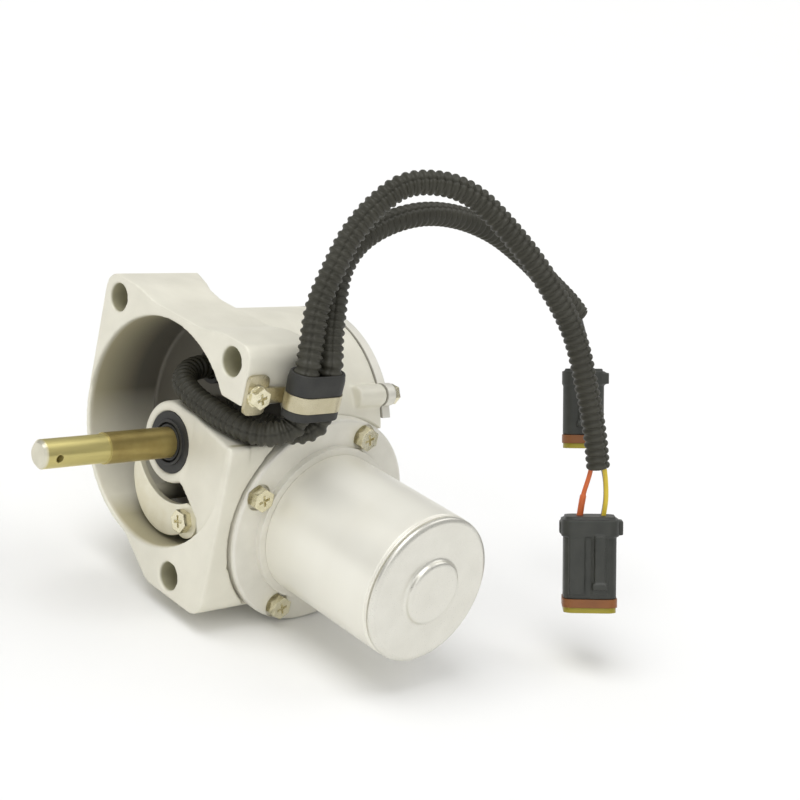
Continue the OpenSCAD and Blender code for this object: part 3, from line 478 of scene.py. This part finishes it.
def smooth_line(route, step):
    """Points about step apart along a cubic that passes through the route's points, and how far along it
    they are. At each of the route's points its direction is that of the line between the two neighbours,
    and its parts are timed by the lengths of the straight stretches."""
    knots = np.asarray(route, float)
    lengths = np.linalg.norm(np.diff(knots, axis=0), axis=1)
    along = np.concatenate([[0], np.cumsum(lengths)])
    slopes = np.empty_like(knots)
    slopes[1:-1] = (knots[2:] - knots[:-2]) / (along[2:] - along[:-2])[:, None]
    slopes[0] = (knots[1] - knots[0]) / lengths[0]
    slopes[-1] = (knots[-1] - knots[-2]) / lengths[-1]
    where = np.linspace(0, along[-1], CUBIC_POINTS)
    part = np.clip(np.searchsorted(along, where, side="right") - 1, 0, len(lengths) - 1)
    t = ((where - along[part]) / lengths[part])[:, None]
    size = lengths[part][:, None]
    line = ((2 * t ** 3 - 3 * t ** 2 + 1) * knots[part] + (t ** 3 - 2 * t ** 2 + t) * size * slopes[part]
            + (3 * t ** 2 - 2 * t ** 3) * knots[part + 1] + (t ** 3 - t ** 2) * size * slopes[part + 1])
    run = np.concatenate([[0], np.cumsum(np.linalg.norm(np.diff(line, axis=0), axis=1))])
    marks = np.linspace(0, run[-1], int(run[-1] / step) + 1)
    return np.stack([np.interp(marks, run, line[:, axis]) for axis in range(3)], 1), marks


def across_line(line):
    """Two directions across the line at each of its points, which turn no more than the line does. The first
    one is square to a slanting direction that no loom or wire starts along."""
    ahead = np.gradient(line, axis=0)
    ahead /= np.linalg.norm(ahead, axis=1)[:, None]
    side = np.empty_like(ahead)
    side[0] = np.cross(ahead[0], (0.3, 0.2, 1.0))
    side[0] /= np.linalg.norm(side[0])
    for k in range(1, len(line)):
        side[k] = side[k - 1] - (side[k - 1] @ ahead[k]) * ahead[k]
        side[k] /= np.linalg.norm(side[k])
    return side, np.cross(ahead, side)


def tube(line, radius, angles):
    """Points round a line: at each point a circle across it, whose radius may differ from point to point
    and from angle to angle."""
    side, up = across_line(line)
    radius = np.broadcast_to(np.asarray(radius, float), (len(line), len(angles)))[..., None]
    outward = np.cos(angles)[:, None] * side[:, None] + np.sin(angles)[:, None] * up[:, None]
    return line[:, None] + radius * outward


def stadium(offset, z, steps=24):
    """Points round both looms at one height: two half circles of radius offset, joined by straight sides."""
    half = np.linspace(0, np.pi, steps)
    far = np.stack([CLIP_X + offset * np.cos(half), CLIP_Y[1] + offset * np.sin(half)], 1)
    near = np.stack([CLIP_X - offset * np.cos(half), CLIP_Y[0] - offset * np.sin(half)], 1)
    flat = np.concatenate([far, near])
    return np.column_stack([flat, np.full(len(flat), z)])


def soft_copy(name, node, slot, step_mm, passes, share=1):
    """Copy of a solid with the rounded edges of a cast or moulded one: its triangles are merged, swapped for
    an even mesh of the given step, and each point is moved towards its neighbours' mean as often as passes
    says. Of the triangles that this gives, the share is kept, fewest where the surface is flat."""
    mesh = NODES[node].data.copy()
    shell = bmesh.new()
    shell.from_mesh(mesh)
    bmesh.ops.remove_doubles(shell, verts=shell.verts, dist=0.001 * MM)
    shell.to_mesh(mesh)
    shell.free()
    source = bpy.data.objects.new(name, mesh)
    bpy.context.scene.collection.objects.link(source)
    even = source.modifiers.new("even", "REMESH")
    even.mode = "VOXEL"
    even.voxel_size = step_mm * MM
    soft = source.modifiers.new("soft", "SMOOTH")
    soft.factor = 0.5
    soft.iterations = passes
    source.modifiers.new("fewer", "DECIMATE").ratio = share
    shaped = bpy.data.meshes.new_from_object(source.evaluated_get(bpy.context.evaluated_depsgraph_get()))
    bpy.data.objects.remove(source)
    bpy.data.meshes.remove(mesh)
    shaped.name = name
    shaped.shade_smooth()
    return placed_piece(name, shaped, slot, node)


# Pieces

def wire(name, node, route, slot, sleeve=0):
    """Round insulated wire along its route. A sleeve thickens its end by that much, with a soft step."""
    line, marks = smooth_line(route, WIRE_STEP)
    past_start = np.tanh((marks - SLEEVE_START * marks[-1]) / SLEEVE_SOFTNESS)
    radius = WIRE_R + sleeve * (0.5 + 0.5 * past_start)
    angles = np.linspace(0, 2 * np.pi, WIRE_SIDES, endpoint=False)
    return skin(name, tube(line, radius[:, None], angles), slot, node, sharp=60)


def plug(side):
    """Plug on the end of a loom: its moulded body with softened edges, its seal and its face."""
    body = soft_copy(f"{side}_plug_shell", f"{side}_plug_body", "plug_charcoal", PLUG_STEP, PLUG_PASSES)
    return [body, NODES[f"{side}_plug_seal"], NODES[f"{side}_plug_face"]]


def loom(name, node, route):
    """Split corrugated tube. Its radius follows a rounded square wave along the line, and dips at one angle,
    where the tube is slit. Both ends turn in over the wall, so that they show as open."""
    line, marks = smooth_line(route, LOOM_RIB_PITCH / LOOM_RINGS_PER_RIB)
    wave = np.tanh(LOOM_RIB_SQUARENESS * np.cos(2 * np.pi * marks / LOOM_RIB_PITCH))
    ribs = LOOM_R - LOOM_RIB_DEPTH * (0.5 - 0.5 * wave / np.tanh(LOOM_RIB_SQUARENESS))
    slit = np.array([-SLIT_ANGLE, SLIT_ANGLE])
    round_side = np.linspace(SLIT_EDGE_ANGLE, 2 * np.pi - SLIT_EDGE_ANGLE, LOOM_SIDES)
    angles = np.concatenate([slit, round_side])
    radius = np.repeat(ribs[:, None], len(angles), axis=1)
    radius[:, :len(slit)] -= SLIT_DEPTH
    outer = tube(line, radius, angles)
    bore = LOOM_R - LOOM_RIB_DEPTH - LOOM_WALL
    head = tube(line[:LOOM_END_RINGS], bore, angles)[::-1]
    tail = tube(line[-LOOM_END_RINGS:], bore, angles)[::-1]
    piece = skin(name, np.concatenate([head, outer, tail]), "loom_black", node, sharp=70)


def looms():
    """Both looms, with the wires that leave them and the plugs that those end in."""
    motor_wires = [
        wire("orange_lead", "orange_wire", ORANGE_ROUTE, "wire_orange", SLEEVE_WALL),
        wire("yellow_lead", "yellow_wire", YELLOW_ROUTE, "wire_yellow"),
        wire("blue_lead", "blue_wire", BLUE_ROUTE, "wire_blue")]
    sensor_wires = [
        wire(f"sensor_lead_{k}", "sensor_wires", route, "wire_black")
        for k, route in enumerate(SENSOR_WIRE_ROUTES)]
    motor_plug, sensor_plug = plug("motor"), plug("sensor")
    loom("motor_conduit", "motor_loom", MOTOR_ROUTE)
    loom("sensor_conduit", "sensor_loom", SENSOR_ROUTE)


def motor():
    """Motor can, a tube with softened ends, and its lid: a rim with a groove before it and a domed hub."""
    centre = np.asarray(JOINTS["motor_spin"]["pos_m"])[1:] / MM
    low, high = (np.asarray(corner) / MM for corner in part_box("motor_can"))
    front, back, radius = low[0], high[0], (high[2] - low[2]) / 2
    bore = radius - CAN_WALL
    can = rounded([
        (front + 2, radius), (back - 1.4, radius), (back - 1.0, radius - 0.5), (back - 0.5, radius - 0.1),
        (back, radius - 0.3), (back, bore), (front, bore), (front, radius), (front + 2, radius)], 0.35)
    skin("can_shell", turned(can[:-1], centre), "plated_can", "motor_can", ring_closed=True)
    seat = bore - 0.02
    lid = rounded([
        (back + 4, AXIS_R), (back + 4, LID_HOLE_R), (back + 2, LID_HOLE_R), (back + 2, LID_POCKET_R),
        (back - 4, LID_POCKET_R), (back - 4, seat), (back + 0.05, seat), (back + 0.05, radius - 0.9),
        (back + 0.7, radius - 0.9), (back + 0.9, radius - 0.1), (back + 2.2, radius - 0.25),
        (back + 3, radius - 1.8), (back + 3, LID_HUB_R + 1.2), (back + 3.5, LID_HUB_R + 0.4),
        (back + 4.9, LID_HUB_R), (back + 5.4, LID_HUB_R - 1.4), (back + 5.5, AXIS_R)], 0.8)
    skin("can_lid", turned(lid, centre), "machined_alloy", "motor_end_cap", finish="lid_alloy")


def clip_cushion():
    """Rubber of the loom clip: one closed section, lips above and below a waist for the band, carried round
    both looms, whose inner side follows them."""
    bottom, band_low, band_high, top = CLIP_Z
    inner, middle = LOOM_R + 0.1, (band_low + band_high) / 2
    section = rounded([
        (CUSHION_R, middle), (CUSHION_R, band_high), (CUSHION_LIP_R, band_high + 0.1),
        (CUSHION_LIP_R + 0.2, top - 3), (CUSHION_LIP_R - 0.3, top), (inner, top), (inner, bottom),
        (CUSHION_LIP_R, bottom), (CUSHION_LIP_R, band_low - 0.1), (CUSHION_R, band_low),
        (CUSHION_R, middle)], 0.8)[:-1]
    rings = np.stack([stadium(offset, z) for offset, z in section])
    skin("clip_rubber", rings, "black_rubber", "loom_clip_cushion", ring_closed=True)


def finish_solids():
    """Every solid takes the finish of its slot in the record, and the guard plate a paler one."""
    for part in frame["record"]["subparts"]:
        NODES[part["node"]].material_slots[0].material = FINISHES[part["material_slot"]]
    NODES["guard_plate"].material_slots[0].material = FINISHES["guard_zinc"]


# Camera, floor and light

def facing(azimuth, elevation):
    """Directions to the right, up and back of what looks at the object from these angles, in degrees."""
    turn, lift = np.radians([azimuth, elevation])
    back = np.array([np.sin(turn) * np.cos(lift), -np.cos(turn) * np.cos(lift), np.sin(lift)])
    right = np.array([np.cos(turn), np.sin(turn), 0])
    return right, np.cross(back, right), back


def stand(name, data, directions, place=(0, 0, 0)):
    """Camera or lamp at a place, with its own axes along the directions to its right, up and back."""
    holder = bpy.data.objects.new(name, data)
    bpy.context.scene.collection.objects.link(holder)
    pose = np.eye(4)
    pose[:3, :3] = np.stack(directions, 1)
    pose[:3, 3] = place
    holder.matrix_world = Matrix(pose.tolist())
    return holder


def camera():
    """Camera on the line of sight given by azimuth and elevation, turned about it by the roll."""
    level, upright, back = facing(VIEW_AZIMUTH, VIEW_ELEVATION)
    roll = np.radians(VIEW_ROLL)
    right = np.cos(roll) * level + np.sin(roll) * upright
    up = np.cos(roll) * upright - np.sin(roll) * level
    data = bpy.data.cameras.new("camera")
    data.lens = VIEW_LENS
    data.sensor_width = SENSOR_WIDTH
    data.clip_start = 0.01
    data.clip_end = 100
    place = (np.asarray(VIEW_CENTRE) + VIEW_DISTANCE * back) * MM
    bpy.context.scene.camera = stand("camera", data, (right, up, back), place)


def floor():
    """Pale floor just under the lowest point."""
    low = solid_box[0][2] - FLOOR_GAP * MM
    corners = np.array([(-1, -1, 0), (1, -1, 0), (1, 1, 0), (-1, 1, 0)]) * FLOOR_REACH + (0, 0, low)
    mesh = bpy.data.meshes.new("floor")
    mesh.from_pydata(corners.tolist(), [], [(0, 1, 2, 3)])
    mesh.materials.append(grained("floor_paint", (0.955, 0.955, 0.95), (0.95, 0.95, 0.945), roughness=0.9,
                                  grain_mm=40, depth_mm=0.01, patch_mm=400, edge_mm=0))
    ground = bpy.data.objects.new("floor", mesh)
    bpy.context.scene.collection.objects.link(ground)


def sky():
    """Sky that is pale overhead and at the horizon, with a dark band between them, which metal reflects."""
    world = bpy.data.worlds.new("sky")
    world.use_nodes = True
    tree = world.node_tree
    background = tree.nodes["Background"]
    background.inputs["Color"].default_value = (1.0, 1.0, 0.995, 1)
    _, _, height = split_place(tree, "Generated")
    horizon = spread(tree, height, SKY_HORIZON, SKY_BAND, 0.03, 0.12)
    overhead = spread(tree, height, SKY_BAND, SKY_OVERHEAD, 0.10, 0.6)
    tree.links.new(combined(tree, "MAXIMUM", horizon, overhead), background.inputs["Strength"])
    bpy.context.scene.world = world


def lamps():
    """Soft even lights, each from the direction in which the object sees it."""
    for name, azimuth, elevation, width, power in LAMPS:
        data = bpy.data.lights.new(name, "SUN")
        data.energy = power
        data.angle = np.radians(width)
        stand(name, data, facing(azimuth, elevation))


def main():
    """The camera, the object piece by piece, and what it stands in."""
    camera()
    looms()
    soft_copy("housing_casting", "housing", "cast_alloy", CAST_STEP, CAST_PASSES, CAST_SHARE)
    motor()
    clip_cushion()
    finish_solids()
    floor()
    sky()
    lamps()
    bpy.context.scene.view_settings.view_transform = "Standard"


main()
